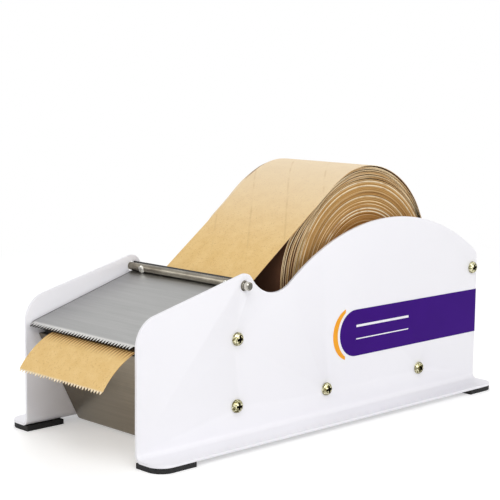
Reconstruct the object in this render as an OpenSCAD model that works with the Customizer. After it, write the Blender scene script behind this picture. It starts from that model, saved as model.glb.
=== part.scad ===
// Counter-top dispenser for gummed paper tape.
// Two folded steel side plates are held apart by five tie rods. The tape roll
// turns on two sleeve rollers, the tape runs under the cover's hinge rod and
// over a wet brush, and is torn off at the cover's toothed edge.
// X runs across the width, Y from front to back, Z up. The origin lies on the
// table, in the middle of the footprint. Heights count from the table, and
// sizes that end in _y count backwards from the side plates' front edge.

/* [Side plates] */
// Length of a side plate, front edge to rear edge
plate_len = 300; // [292:1:330]
// Clear width between the two side plates
inner_w = 100; // [92:1:130]
// Thickness of the side plates' sheet
sheet_t = 1.6; // [1.2:0.1:2.5]
// Radius of the side plate's top front corner
front_corner_r = 17; // [8:1:22]
// Height at which the upright front edge turns into that corner
front_corner_z = 66; // [58:1:68]
// Radius of the small hump round the cover's hinge hole
hump_r = 7; // [6:0.5:9]
// Radius of the hollow behind the hump
dip_r = 22; // [18:1:28]
// Radius of the long curved top edge beside the roll
crown_r = 148; // [140:1:160]
// Distance of the crown's highest point from the rear edge
crown_inset = 90; // [85:1:100]
// Height of the crown's highest point
crown_top_z = 122.4; // [116:0.2:128]
// Radius of the top rear corner
rear_corner_r = 8; // [4:1:14]
// Width of the outward foot flange, measured from the plate's outer face
flange_w = 19; // [16:0.5:26]
// Radius of the flange's two outer corners
flange_corner_r = 10; // [5:1:14]
// Inside radius of the bend between plate and flange
bend_r = 3; // [1.5:0.5:4]

/* [Feet] */
// Thickness of a rubber foot pad
foot_t = 3.2; // [2:0.2:6]
// Length of a foot pad along the flange
foot_len = 27; // [18:1:40]
// Distance that a pad stays back from the flange's outline
foot_inset = 0.3; // [0.1:0.1:1]

/* [Tie rods and screws] */
// Diameter of a tie rod
tie_d = 8; // [7:0.5:9]
// Distance of the two tank tie rods from the front edge
tank_tie_y = 74.2; // [70:0.2:76]
// Height of the upper tank tie rod
tank_tie_upper_z = 61.8; // [58:0.2:64]
// Height of the lower tank tie rod
tank_tie_lower_z = 22.5; // [16:0.5:30]
// Distance of the rear tie rod from the rear edge
rear_tie_inset = 5.2; // [5.2:0.2:12]
// Drop of the rear tie rod below the centre of the top rear corner
rear_tie_drop = 5.9; // [4:0.1:26]
// Diameter of the screws' thread
screw_d = 4; // [3:0.5:5]
// Diameter of the screws' pan heads
screw_head_d = 8; // [7:0.5:10]
// Height of the screws' pan heads
screw_head_h = 2.8; // [2:0.2:3.5]
// Length of the screws under the head
screw_len = 10; // [8:1:14]
// Width of the cross recess in the heads
recess_w = 1.1; // [0.8:0.1:1.4]
// Length of each arm of the cross recess, tip to tip
recess_len = 4.4; // [3:0.2:5]
// Radial room of a screw in a plate's hole
screw_hole_gap = 0.25; // [0.1:0.05:0.5]

/* [Rollers] */
// Distance of the front roller from the rear edge
front_roller_inset = 149.8; // [146:0.2:154]
// Distance of the rear roller from the rear edge
rear_roller_inset = 60.6; // [56:0.2:66]
// Height of both roller axles
roller_z = 20.5; // [16:0.5:26]
// Outer diameter of the roller tubes
roller_d = 12; // [11.5:0.5:16]
// Wall of the roller tubes
roller_wall = 1; // [0.8:0.1:1.2]
// Length of a bush's spigot inside the tube
bush_len = 8; // [5:1:14]
// Thickness of a bush's flange
bush_flange_t = 1.5; // [1:0.25:3]
// Room between each bush flange and the side plate
roller_end_gap = 0.5; // [0.3:0.1:1.5]

/* [Tape] */
// Width of the tape
tape_w = 76; // [50:1:77]
// Sideways place of the roll's middle
roll_x = 4; // [0:0.5:8]
// Sideways place of the loose tape's middle
web_x = 7.5; // [0:0.5:9]
// Diameter of the roll
roll_d = 142; // [120:1:148]
// Bore of the paper core
core_bore_d = 38; // [32:1:44]
// Wall of the paper core
core_wall = 3; // [2:0.25:5]
// Thickness of the loose tape
web_t = 0.4; // [0.3:0.05:0.6]
// Angle over the roll's top that the outermost lap covers
lap_angle = 100; // [60:1:120]
// Length of the hanging strip in front of the cutter
strip_len = 26.5; // [15:0.5:40]
// Slope of the strip just outside the cutter, below level
strip_start_slope = 24; // [22:1:45]
// Slope of the strip at its torn end, below level
strip_end_slope = 54; // [50:1:75]
// Radius of the tape's bend at the cutter
strip_bend_r = 8; // [5:0.5:12]
// Pitch of the torn end's points
torn_pitch = 2.5; // [2:0.1:4]
// Length of the torn end's points
torn_depth = 1.4; // [0.5:0.1:2]

/* [Cover] */
// Distance of the hinge rod from the front edge
hinge_y = 79.8; // [78:0.2:84]
// Height of the hinge rod
hinge_z = 92; // [90:0.5:95]
// Diameter of the hinge rod
rod_d = 5; // [4.5:0.1:5.5]
// Length of rod that stands out beyond each side plate
rod_overhang = 4.6; // [3:0.2:8]
// Diameter of the rod's holes in the side plates
rod_hole_d = 6.2; // [5.8:0.1:6.6]
// Thickness of the cover's sheet
cover_t = 1; // [0.8:0.1:1.2]
// Slope of the cover, below level
cover_slope = 16.8; // [16:0.1:17.6]
// Length of the cover from the rod to the tooth tips
cover_len = 83.2; // [80:0.2:85]
// Room between the cover and each side plate
cover_side_gap = 0.7; // [0.4:0.1:1.5]
// Length of the toothed strip that is folded down
tooth_strip = 5; // [4:0.5:8]
// Angle of that fold
tooth_fold = 12; // [6:1:16]
// Pitch of the teeth
tooth_pitch = 2.6; // [2:0.1:4]
// Depth of the teeth
tooth_depth = 2.2; // [1.5:0.1:3]
// Angle that the cover's rear edge is curled round the hinge rod
cover_curl = 140; // [110:5:160]
// Distance of the cover's two screws from its side edges
cover_screw_inset = 11.3; // [5:0.1:25]

/* [Water tank and brush] */
// Height of the tank's bottom over the table
tank_bottom_z = 1.5; // [1:0.5:6]
// Height of the tank's front lip
tank_lip_z = 58.8; // [50:0.2:60]
// Distance of the front lip from the side plates' front edge
tank_lip_y = 8.6; // [6:0.2:14]
// Distance of the front wall's foot from that edge
tank_foot_y = 37.8; // [30:0.2:40]
// Thickness of the tank's sheet
tank_t = 1; // [0.8:0.1:1.2]
// Room between the tank and each side plate
tank_side_gap = 0.5; // [0.3:0.1:1.5]
// Radius of the bend at the front wall's foot
tank_bend_r = 3; // [2:0.5:5]
// Thickness of the brush block, front to back
block_t = 16; // [12:0.5:18]
// Height of the brush block
block_h = 26; // [20:1:30]
// Room between the brush and the tank's side walls
brush_side_gap = 2.5; // [0.5:0.5:15]
// Height of the block's top layer, which holds the bristles
tuft_layer = 2; // [1:0.5:4]
// Number of bristles across the brush
bristle_columns = 45; // [40:1:55]
// Number of bristle rows, front to back
bristle_rows = 8; // [7:1:9]
// Thickness of a bristle
bristle_d = 0.9; // [0.6:0.1:1.1]
// Width of the clip that keeps the brush against the front wall
clip_w = 60; // [30:1:80]
// Thickness of the clip's sheet
clip_t = 1; // [0.8:0.1:1.5]

/* [Side label] */
// Height of the label's lower edge
label_z = 37.3; // [34:0.2:40]
// Height of the label's coloured band
label_h = 29.4; // [20:0.2:32]
// Distance of the band's round end from the front edge
label_start_y = 162; // [156:0.5:200]
// Thickness of the label
label_t = 0.2; // [0.1:0.05:0.3]
// Width of the bare gap between band and crescent
crescent_gap = 2.2; // [0.5:0.1:3]
// Greatest width of the crescent
crescent_w = 4; // [2:0.5:8]
// How far the crescent's tips reach past the band's front end
crescent_reach = 4.9; // [2:0.1:8]

/* [Hidden] */

$fn = 96;

// Clearances and small details
seat_gap = 0.05;
press_gap = 0.02;
running_gap = 0.05;
tape_gap = 0.3;
tooth_gap = 1.8;
tank_gap = 0.3;
tank_hook_end = 5;
brush_gap = 0.3;
arc_room = 0.02;
cut_room = 0.5;
torn_side = 0.1;
rod_groove_depth = 0.6;
rod_groove_w = 0.9;
rod_groove_step = 0.8;
rod_chamfer = 0.5;
cover_screw_d = 2;
cover_screw_head_d = 4.8;
cover_screw_head_h = 1.4;
cover_screw_flat = 1.6;
cover_screw_slot_w = 0.6;
cover_corner_r = 3;
recess_depth_share = 0.6;
tap_room = 2;
clip_foot = 9;
clip_leg = 13;
bristle_spread = 0.25;
tip_share = 0.6;

// Places that follow from the sizes above
outer_x = inner_w / 2 + sheet_t;
flange_top_z = foot_t + sheet_t;
plate_bottom_z = flange_top_z + bend_r;
tie_r = tie_d / 2;
rear_tie_y = plate_len - rear_tie_inset;
front_roller_y = plate_len - front_roller_inset;
rear_roller_y = plate_len - rear_roller_inset;
crown_y = plate_len - crown_inset;
crown_z = crown_top_z - crown_r;
roller_r = roller_d / 2;
roll_r = roll_d / 2;
rod_r = rod_d / 2;

// The roll lies on both rollers, so its axis is above their middle
roll_y = (front_roller_y + rear_roller_y) / 2;
roll_z = roller_z + sqrt(pow(roll_r + roller_r + tape_gap, 2)
    - pow((rear_roller_y - front_roller_y) / 2, 2));

// Plane geometry, on [y, z] points
function along(angle) = [cos(angle), sin(angle)];
function angle_of(v) = atan2(v[1], v[0]);
// Point on both circles, on the left of the way from p to q
function circles_meet(p, rp, q, rq) =
    let (d = norm(q - p), a = (rp * rp - rq * rq + d * d) / (2 * d))
    p + (q - p) * a / d + [-(q - p)[1], (q - p)[0]] * sqrt(rp * rp - a * a) / d;

// Points of an arc, close enough that no chord strays further than arc_room
function arc(centre, r, from, to) =
    let (n = ceil(abs(to - from) / (2 * acos(1 - arc_room / r))))
    [for (i = [0 : n]) centre + r * along(from + (to - from) * i / n)];
// A list without its first entry, to join arcs that share an end
function rest_of(list) = [for (i = [1 : len(list) - 1]) list[i]];
// Directions of a path's pieces, then the sideways step of each of its points
function path_angle(path, i) = angle_of(path[i + 1] - path[i]);
function side_step(path, i) =
    let (
        last = len(path) - 1,
        before = path_angle(path, max(i - 1, 0)),
        turn = path_angle(path, min(i, last - 1)) - before,
        half_turn = (turn - 360 * round(turn / 360)) / 2
    )
    along(before + half_turn + 90) / cos(half_turn);
// Outline of a sheet of thickness t whose middle follows the path
function sheet_outline(path, t) =
    let (last = len(path) - 1)
    concat([for (i = [0 : last]) path[i] + side_step(path, i) * t / 2],
        [for (i = [last : -1 : 0]) path[i] - side_step(path, i) * t / 2]);

// Side plate outline: arcs that touch each other, and one straight slope
front_corner = [front_corner_r, front_corner_z];
hinge = [hinge_y, hinge_z];
crown = [crown_y, crown_z];
dip = circles_meet(hinge, hump_r + dip_r, crown, crown_r + dip_r);
slope_angle = angle_of(hinge - front_corner)
    + asin((hump_r - front_corner_r) / norm(hinge - front_corner));
rear_corner_y = plate_len - rear_corner_r;
rear_corner = [rear_corner_y,
    crown_z + sqrt(pow(crown_r - rear_corner_r, 2) - pow(rear_corner_y - crown_y, 2))];
rear_tie_z = rear_corner[1] - rear_tie_drop;
TIES = [[tank_tie_y, tank_tie_upper_z], [tank_tie_y, tank_tie_lower_z],
    [front_roller_y, roller_z], [rear_roller_y, roller_z], [rear_tie_y, rear_tie_z]];
plate_outline = concat([[0, 0]],
    arc(front_corner, front_corner_r, 180, slope_angle + 90),
    arc(hinge, hump_r, slope_angle + 90, angle_of(dip - hinge)),
    rest_of(arc(dip, dip_r, angle_of(hinge - dip), angle_of(crown - dip))),
    rest_of(arc(crown, crown_r, angle_of(dip - crown), angle_of(rear_corner - crown))),
    rest_of(arc(rear_corner, rear_corner_r, angle_of(rear_corner - crown), 0)),
    [[plate_len, 0]]);
// Front view of the plate's sheet, on [x, z] points
plate_path = concat([[inner_w / 2 + sheet_t / 2, crown_top_z + cut_room]],
    arc([outer_x + bend_r, plate_bottom_z], bend_r + sheet_t / 2, 180, 270),
    [[outer_x + flange_w, foot_t + sheet_t / 2]]);

// Cover: forward runs down its slope, up stands square on it
cover_forward = along(180 + cover_slope);
cover_up = along(90 + cover_slope);
cover_w = inner_w - 2 * cover_side_gap;
cover_screw_x = cover_w / 2 - cover_screw_inset;
curl_r = rod_r + seat_gap + cover_t;
curl_mid_r = curl_r - cover_t / 2;
tooth_fold_at = cover_len - tooth_strip * cos(tooth_fold);
fold_point = hinge + cover_forward * tooth_fold_at - cover_up * curl_mid_r;
tooth_angle = cover_slope + tooth_fold;
tooth_tip = fold_point - along(tooth_angle) * tooth_strip - along(tooth_angle + 90) * cover_t / 2;
cover_path = concat(arc(hinge, curl_mid_r, cover_slope - 90 + cover_curl, cover_slope - 90),
    [fold_point, fold_point - along(tooth_angle) * (tooth_strip + cut_room)]);

// Tape: under the hinge rod, past the tooth tips, and up onto the roll
web_clear = tape_gap + web_t / 2;
rod_bend_r = curl_r + web_clear;
tip_bend_r = tooth_gap + web_t / 2;
lap_r = roll_r + web_clear;
front_run_angle = angle_of(hinge - tooth_tip)
    + asin((tip_bend_r - rod_bend_r) / norm(hinge - tooth_tip));
front_run_start = tooth_tip - tip_bend_r * along(front_run_angle + 90);
roll_centre = [roll_y, roll_z];
rear_run_angle = angle_of(roll_centre - hinge)
    + asin((rod_bend_r + lap_r) / norm(roll_centre - hinge));
strip_bend = strip_start_slope - front_run_angle;
strip_sag = strip_end_slope - strip_start_slope;
strip_sag_r = strip_len * 180 / (PI * strip_sag);
strip_bend_centre = front_run_start - strip_bend_r * along(front_run_angle + 90);
strip_bend_end = strip_bend_centre + strip_bend_r * along(strip_start_slope + 90);
strip_sag_centre = strip_bend_end - strip_sag_r * along(strip_start_slope + 90);
strip_end = strip_sag_centre + strip_sag_r * along(strip_end_slope + 90);
strip_tip = strip_end - torn_depth * along(strip_end_slope);
strip_reach = strip_tip[0] + web_t / 2 * cos(strip_end_slope + 90);
web_path = concat([strip_tip - cut_room * along(strip_end_slope)],
    arc(strip_sag_centre, strip_sag_r, strip_end_slope + 90, strip_start_slope + 90),
    rest_of(arc(strip_bend_centre, strip_bend_r, strip_start_slope + 90, front_run_angle + 90)),
    arc(hinge, rod_bend_r, front_run_angle - 90, rear_run_angle - 90),
    arc(roll_centre, lap_r, rear_run_angle + 90, rear_run_angle + 90 - lap_angle));

// Brush: stands in the tank along the front wall's slant
tank_w = inner_w - 2 * tank_side_gap;
brush_w = tank_w - 2 * (tank_t + brush_side_gap);
tank_hook_r = tie_r + tank_gap;
tank_back_y = tank_tie_y - tank_hook_r - tank_t;
tank_hook_path = concat([[tank_back_y + tank_t / 2, tank_tie_upper_z - tank_hook_r]],
    arc([tank_tie_y, tank_tie_upper_z], tank_hook_r + tank_t / 2, 180, tank_hook_end));
tank_lip = [tank_lip_y, tank_lip_z];
tank_foot = [tank_foot_y, tank_bottom_z];
wall_angle = angle_of(tank_lip - tank_foot);
wall_up = along(wall_angle);
wall_in = along(wall_angle - 90);
brush_lift = (tank_t + brush_gap) / sin(wall_angle) + brush_gap;
brush_foot = tank_foot + wall_in * (tank_t + brush_gap) + wall_up * brush_lift;
web_under = rod_bend_r + web_t / 2 + brush_gap;
web_up = along(front_run_angle + 90);
brush_top = brush_foot + wall_up * block_h;
// Length that a bristle at depth v needs to reach the tape
function bristle_len(v) =
    (-web_under - (brush_top + wall_in * v - hinge) * web_up) / (wall_up * web_up);

// The footprint's middle becomes the origin
origin_y = (plate_len + strip_reach) / 2;

// Side view to part frame: x is y, y is z, and the extrusion runs along X
module across(width) {
    translate([-width / 2, -origin_y, 0])
        rotate([90, 0, 90])
            linear_extrude(width)
                children();
}

// Bent sheet whose middle follows a path of the side view
module bent_sheet(path, t, width) {
    across(width) polygon(sheet_outline(path, t));
}

// Round bar along X through a point of the side view
module bar(at, r, width) {
    translate([-width / 2, at[0] - origin_y, at[1]])
        rotate([0, 90, 0])
            cylinder(r = r, h = width);
}

// Removes what lies beyond a toothed line: x across, y outwards, y = 0 at the start
module toothed_cut(count, pitch, root, tip, side) {
    half_row = count * pitch / 2;
    far_y = tip + 4 * cut_room;
    far_x = half_row + side + pitch + far_y;
    teeth = [for (k = [0 : count - 1], p = [[0, root], [0.5, tip]])
        [(k + p[0]) * pitch - half_row, p[1]]];
    translate([0, 0, -far_y / 2])
        linear_extrude(far_y)
            polygon(concat(teeth, [[half_row, root], [half_row + side, root - side],
                [far_x, root - side], [far_x, far_y], [-far_x, far_y],
                [-far_x, root - side], [-half_row - side, root - side]]));
}

// Frame at a point of the side view: y runs forward and down a slope, z up
module slope_frame(at, slope) {
    translate([0, at[0] - origin_y, at[1]])
        rotate([slope, 0, 0])
            mirror([0, 1, 0])
                children();
}

// Cover frame at the hinge: x across, y forward down the slope, z up
module cover_frame() {
    slope_frame(hinge, cover_slope) children();
}

// Frames of the cover's two screws: z along the screw, forward from the rod's axis
module cover_screw_frames() {
    cover_frame()
        for (side = [-1, 1])
            translate([side * cover_screw_x, 0, 0])
                rotate([-90, 0, 0])
                    children();
}

// Brush frame at the block's lower front edge: y into the tank, z up the slant
module brush_frame() {
    translate([0, brush_foot[0] - origin_y, brush_foot[1]])
        rotate([wall_angle - 90, 0, 0])
            children();
}

// Rounds one outer corner of the flange: x outwards, y along the plate
module flange_corner_cut() {
    edge_x = outer_x + flange_w;
    centre = [edge_x - flange_corner_r, flange_corner_r];
    translate([0, 0, foot_t - cut_room])
        linear_extrude(sheet_t + 2 * cut_room)
            polygon(concat(arc(centre, flange_corner_r, 270, 360),
                [[edge_x + cut_room, flange_corner_r], [edge_x + cut_room, -cut_room],
                [centre[0], -cut_room]]));
}

// Side plate on the +X side, with its outward foot flange
module side_plate() {
    difference() {
        intersection() {
            translate([0, plate_len + cut_room - origin_y, 0])
                rotate([90, 0, 0])
                    linear_extrude(plate_len + 2 * cut_room)
                        polygon(sheet_outline(plate_path, sheet_t));
            across(2 * inner_w) polygon(plate_outline);
        }
        translate([0, -origin_y, 0]) flange_corner_cut();
        translate([0, plate_len - origin_y, 0]) mirror([0, 1, 0]) flange_corner_cut();
        for (tie = TIES)
            translate([outer_x, 0, 0]) bar(tie, screw_d / 2 + screw_hole_gap, 4 * sheet_t);
        translate([outer_x, 0, 0]) bar(hinge, rod_hole_d / 2, 4 * sheet_t);
    }
}

module right_side_plate() {
    color("whitesmoke") side_plate();
}

module left_side_plate() {
    color("whitesmoke") mirror([1, 0, 0]) side_plate();
}

// Rubber pad under the front end of the right flange
module front_foot() {
    start_x = inner_w / 2 + foot_inset;
    end_x = outer_x + flange_w - foot_inset;
    corner_r = flange_corner_r - foot_inset;
    translate([0, -origin_y, 0])
        linear_extrude(foot_t)
            polygon(concat([[start_x, foot_len], [start_x, foot_inset]],
                arc([end_x - corner_r, foot_inset + corner_r], corner_r, 270, 360),
                [[end_x, foot_len]]));
}

// The same pad under the rear end
module rear_foot() {
    translate([0, plate_len - 2 * origin_y, 0]) mirror([0, 1, 0]) front_foot();
}

module front_right_foot() {
    color("black") front_foot();
}

module rear_right_foot() {
    color("black") rear_foot();
}

module front_left_foot() {
    color("black") mirror([1, 0, 0]) front_foot();
}

module rear_left_foot() {
    color("black") mirror([1, 0, 0]) rear_foot();
}

// Pan head screw along +X: the head's seat is at x = 0
module pan_screw() {
    dome_r = (pow(screw_head_d / 2, 2) + pow(screw_head_h, 2)) / (2 * screw_head_h);
    rotate([0, 90, 0])
        difference() {
            union() {
                intersection() {
                    cylinder(d = screw_head_d, h = screw_head_h);
                    translate([0, 0, screw_head_h - dome_r]) sphere(r = dome_r);
                }
                translate([0, 0, -screw_len]) cylinder(d = screw_d, h = screw_len);
            }
            for (turn = [45, 135])
                rotate([0, 0, turn])
                    translate([-recess_len / 2, -recess_w / 2,
                        screw_head_h * (1 - recess_depth_share)])
                        cube([recess_len, recess_w, screw_head_h]);
        }
}

module side_screws() {
    for (tie = TIES)
        translate([outer_x, tie[0] - origin_y, tie[1]]) pan_screw();
}

module right_side_screws() {
    color("khaki") side_screws();
}

module left_side_screws() {
    color("khaki") mirror([1, 0, 0]) side_screws();
}

// Round tie rod between the plates, tapped at both ends
module tie_rod(at) {
    tap_depth = screw_len - sheet_t + tap_room;
    difference() {
        bar(at, tie_r, inner_w);
        for (side = [-1, 1])
            translate([side * inner_w / 2, 0, 0])
                bar(at, screw_d / 2 + running_gap, 2 * tap_depth);
    }
}

module upper_tank_tie_rod() {
    color("silver") tie_rod(TIES[0]);
}

module lower_tank_tie_rod() {
    color("silver") tie_rod(TIES[1]);
}

module front_roller_axle() {
    color("silver") tie_rod(TIES[2]);
}

module rear_roller_axle() {
    color("silver") tie_rod(TIES[3]);
}

module rear_tie_rod() {
    color("silver") tie_rod(TIES[4]);
}

// Thin steel tube that turns on its two bushes
module roller_tube(at) {
    tube_len = inner_w - 2 * (roller_end_gap + bush_flange_t);
    difference() {
        bar(at, roller_r, tube_len);
        bar(at, roller_r - roller_wall, inner_w);
    }
}

module front_roller_tube() {
    color("gainsboro") roller_tube(TIES[2]);
}

module rear_roller_tube() {
    color("gainsboro") roller_tube(TIES[3]);
}

// Pair of flanged plastic bushes, one in each end of a roller tube
module roller_bushes(at) {
    flange_x = inner_w / 2 - roller_end_gap - bush_flange_t;
    for (side = [0, 1])
        mirror([side, 0, 0])
            difference() {
                union() {
                    translate([flange_x + bush_flange_t / 2, 0, 0])
                        bar(at, roller_r, bush_flange_t);
                    translate([flange_x - bush_len / 2, 0, 0])
                        bar(at, roller_r - roller_wall - press_gap, bush_len);
                }
                bar(at, tie_r + running_gap, inner_w);
            }
}

module front_roller_bushes() {
    color("ivory") roller_bushes(TIES[2]);
}

module rear_roller_bushes() {
    color("ivory") roller_bushes(TIES[3]);
}

// Side view of the tank's space, grown outwards by a wall
module tank_section(wall) {
    shift = wall / sin(wall_angle);
    polygon([tank_lip + wall_up * (2 * tank_t) + [tank_t / sin(wall_angle) - shift, 0],
        tank_foot + [tank_t / sin(wall_angle) - shift, 0]
            + wall_up * (tank_t - wall) / sin(wall_angle),
        [tank_back_y + wall, tank_bottom_z + tank_t - wall],
        [tank_back_y + wall, tank_tie_upper_z + tank_t]]);
}

// Outer outline of the tank: level front lip, rounded front foot
module tank_envelope() {
    foot_turn = 180 - wall_angle;
    reach = tank_bend_r * tan(foot_turn / 2);
    bend_centre = tank_foot + [reach, tank_bend_r];
    polygon([tank_lip, tank_foot + wall_up * reach, bend_centre, tank_foot + [reach, 0],
        [tank_back_y + tank_t, tank_bottom_z], [tank_back_y + tank_t, tank_tie_upper_z]]);
    translate(bend_centre) circle(r = tank_bend_r);
}

// Folded stainless tank, hung by its rear hook on the upper tie rod
module water_tank() {
    color("rosybrown") {
        difference() {
            intersection() {
                across(tank_w) tank_section(tank_t);
                across(tank_w) tank_envelope();
            }
            across(tank_w - 2 * tank_t) tank_section(0);
        }
        bent_sheet(tank_hook_path, tank_t, tank_w);
    }
}

// Bent strip on the tank's floor that keeps the brush against the front wall
module brush_clip() {
    heel = brush_foot + wall_in * (block_t + brush_gap + clip_t / 2);
    floor_z = tank_bottom_z + tank_t + clip_t / 2;
    knee = heel + wall_up * ((floor_z - heel[1]) / wall_up[1]);
    color("gray")
        bent_sheet([knee + wall_up * clip_leg, knee, knee + [clip_foot, 0]], clip_t, clip_w);
}

// Solid block that carries the bristles
module brush_block() {
    color("dimgray")
        brush_frame()
            translate([-brush_w / 2, 0, 0])
                cube([brush_w, block_t, block_h - tuft_layer]);
}

// Bristles on the block's top layer, as one closed mesh. Each cell of the
// layer's top holds one four-sided bristle that reaches up to the tape.
module brush_bristles() {
    nx = bristle_columns;
    ny = bristle_rows;
    cell_x = brush_w / nx;
    cell_y = block_t / ny;
    half = bristle_d / 2;
    grid = [for (j = [0 : ny], i = [0 : nx]) [i * cell_x, j * cell_y, block_h]];
    lower = [for (p = grid) [p[0], p[1], block_h - tuft_layer]];
    corners = [[-1, -1], [1, -1], [1, 1], [-1, 1]];
    roots = [for (j = [0 : ny - 1], i = [0 : nx - 1], c = corners)
        [(i + 0.5) * cell_x + c[0] * half, (j + 0.5) * cell_y + c[1] * half, block_h]];
    tips = [for (j = [0 : ny - 1], i = [0 : nx - 1], c = corners)
        let (
            lean_x = bristle_spread * sin(97 * i + 61 * j),
            lean_y = bristle_spread * sin(71 * i + 113 * j),
            y = (j + 0.5) * cell_y + lean_y + c[1] * half * tip_share
        )
        [(i + 0.5) * cell_x + lean_x + c[0] * half * tip_share, y, block_h + bristle_len(y)]];
    n_grid = (nx + 1) * (ny + 1);
    root_at = 2 * n_grid;
    tip_at = root_at + 4 * nx * ny;
    top_faces = [for (j = [0 : ny - 1], i = [0 : nx - 1])
        let (
            a = j * (nx + 1) + i,
            g = [a, a + 1, a + nx + 2, a + nx + 1],
            r = root_at + 4 * (j * nx + i),
            t = tip_at + 4 * (j * nx + i)
        )
        for (k = [0 : 3], f = [[g[k], r + k, g[(k + 1) % 4]],
            [r + k, r + (k + 1) % 4, g[(k + 1) % 4]],
            [r + k, t + k, r + (k + 1) % 4],
            [t + k, t + (k + 1) % 4, r + (k + 1) % 4]]) f];
    tip_faces = [for (n = [0 : nx * ny - 1], f = [[0, 2, 1], [0, 3, 2]])
        [for (v = f) tip_at + 4 * n + v]];
    rim = concat([for (i = [0 : nx - 1]) i], [for (j = [0 : ny - 1]) j * (nx + 1) + nx],
        [for (i = [nx : -1 : 1]) ny * (nx + 1) + i], [for (j = [ny : -1 : 1]) j * (nx + 1)]);
    n_rim = len(rim);
    side_faces = [for (k = [0 : n_rim - 1])
        let (p = rim[k], q = rim[(k + 1) % n_rim])
        for (f = [[p, q, n_grid + p], [q, n_grid + q, n_grid + p]]) f];
    base_faces = [for (j = [0 : ny - 1], i = [0 : nx - 1])
        let (a = n_grid + j * (nx + 1) + i)
        for (f = [[a, a + 1, a + nx + 2], [a, a + nx + 2, a + nx + 1]]) f];
    color("black")
        brush_frame()
            translate([-brush_w / 2, 0, 0])
                polyhedron(concat(grid, lower, roots, tips),
                    concat(top_faces, tip_faces, side_faces, base_faces));
}

// Hinge rod of the cover: through both plates, grooved near each end
module hinge_rod() {
    half_len = outer_x + rod_overhang;
    groove_x = outer_x + rod_groove_step + rod_groove_w / 2;
    color("dimgray")
        difference() {
            union() {
                bar(hinge, rod_r, 2 * (half_len - rod_chamfer));
                bar(hinge, rod_r - rod_chamfer, 2 * half_len);
            }
            for (side = [-1, 1])
                translate([side * groove_x, 0, 0])
                    difference() {
                        bar(hinge, rod_r + 1, rod_groove_w);
                        bar(hinge, rod_r - rod_groove_depth, rod_groove_w);
                    }
            cover_screw_frames() {
                translate([0, 0, -rod_d])
                    cylinder(d = cover_screw_d + 2 * running_gap, h = 2 * rod_d, $fn = 32);
                translate([0, 0, cover_screw_flat])
                    cylinder(d = cover_screw_head_d + 4 * running_gap, h = rod_d, $fn = 32);
            }
        }
}

// Stainless cover: curled round the rod behind, folded and toothed in front
module cover_plate() {
    // The row of teeth starts at the left edge and ends before the right corner
    tooth_count = floor((cover_w - cover_corner_r) / tooth_pitch);
    color("lightgray")
        difference() {
            bent_sheet(cover_path, cover_t, cover_w);
            slope_frame(fold_point, tooth_angle)
                translate([(tooth_count * tooth_pitch - cover_w) / 2, 0, 0])
                    toothed_cut(tooth_count, tooth_pitch, tooth_strip - tooth_depth,
                        tooth_strip, cover_corner_r / 2);
            cover_screw_frames()
                translate([0, 0, -curl_r - cover_t])
                    cylinder(d = cover_screw_d + 2 * running_gap, h = 3 * cover_t, $fn = 32);
        }
}

// Two small screws through the rod into the cover
module cover_screws() {
    shank = cover_screw_flat + curl_r;
    color("silver")
        cover_screw_frames()
            translate([0, 0, cover_screw_flat])
                difference() {
                    union() {
                        cylinder(d = cover_screw_head_d, h = cover_screw_head_h, $fn = 32);
                        translate([0, 0, -shank])
                            cylinder(d = cover_screw_d, h = shank, $fn = 32);
                    }
                    translate([-cover_screw_head_d, -cover_screw_slot_w / 2,
                        cover_screw_head_h / 2])
                        cube([2 * cover_screw_head_d, cover_screw_slot_w, cover_screw_head_h]);
                }
}

// Roll of tape on its core
module tape_roll() {
    core_r = core_bore_d / 2 + core_wall;
    color("burlywood")
        translate([roll_x, 0, 0])
            difference() {
                bar(roll_centre, roll_r, tape_w);
                bar(roll_centre, core_r + press_gap, 2 * tape_w);
            }
}

// Paper core of the roll
module roll_core() {
    color("tan")
        translate([roll_x, 0, 0])
            difference() {
                bar(roll_centre, core_bore_d / 2 + core_wall, tape_w);
                bar(roll_centre, core_bore_d / 2, 2 * tape_w);
            }
}

// Loose tape: last lap over the roll, under the rod, out below the cutter
module tape_web() {
    color("burlywood")
        translate([web_x, 0, 0])
            difference() {
                bent_sheet(web_path, web_t, tape_w);
                slope_frame(strip_end, strip_end_slope)
                    toothed_cut(floor(tape_w / torn_pitch), torn_pitch, 0, torn_depth,
                        torn_side);
            }
}

// Coloured band of the right-hand label, with its round front end
module side_label() {
    end_r = label_h / 2;
    color("indigo")
        translate([outer_x + label_t / 2, 0, 0])
            across(label_t) {
                translate([label_start_y + end_r, label_z])
                    square([plate_len - label_start_y - end_r, label_h]);
                translate([label_start_y + end_r, label_z + end_r]) circle(r = end_r);
            }
}

// Crescent in front of the band's round end
module label_crescent() {
    end_r = label_h / 2;
    centre = [label_start_y + end_r, label_z + end_r];
    color("orange")
        translate([outer_x + label_t / 2, 0, 0])
            across(label_t)
                difference() {
                    translate(centre - [crescent_w, 0]) circle(r = end_r + crescent_gap);
                    translate(centre) circle(r = end_r + crescent_gap);
                    translate([label_start_y + crescent_reach, label_z - label_h])
                        square([label_h, 3 * label_h]);
                }
}

right_side_plate();
left_side_plate();
front_right_foot();
rear_right_foot();
front_left_foot();
rear_left_foot();
right_side_screws();
left_side_screws();
upper_tank_tie_rod();
lower_tank_tie_rod();
rear_tie_rod();
front_roller_axle();
rear_roller_axle();
front_roller_tube();
rear_roller_tube();
front_roller_bushes();
rear_roller_bushes();
water_tank();
brush_clip();
brush_block();
brush_bristles();
hinge_rod();
cover_plate();
cover_screws();
tape_roll();
roll_core();
tape_web();
side_label();
label_crescent();
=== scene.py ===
# Counter-top dispenser for gummed paper tape, as it stands in the photograph:
# white folded side plates, a stainless cover with a toothed edge, a water tank
# below it, and a roll of kraft tape behind. One section follows another in the
# order in which the machine is put together.
import math
import random
from contextlib import contextmanager

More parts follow.
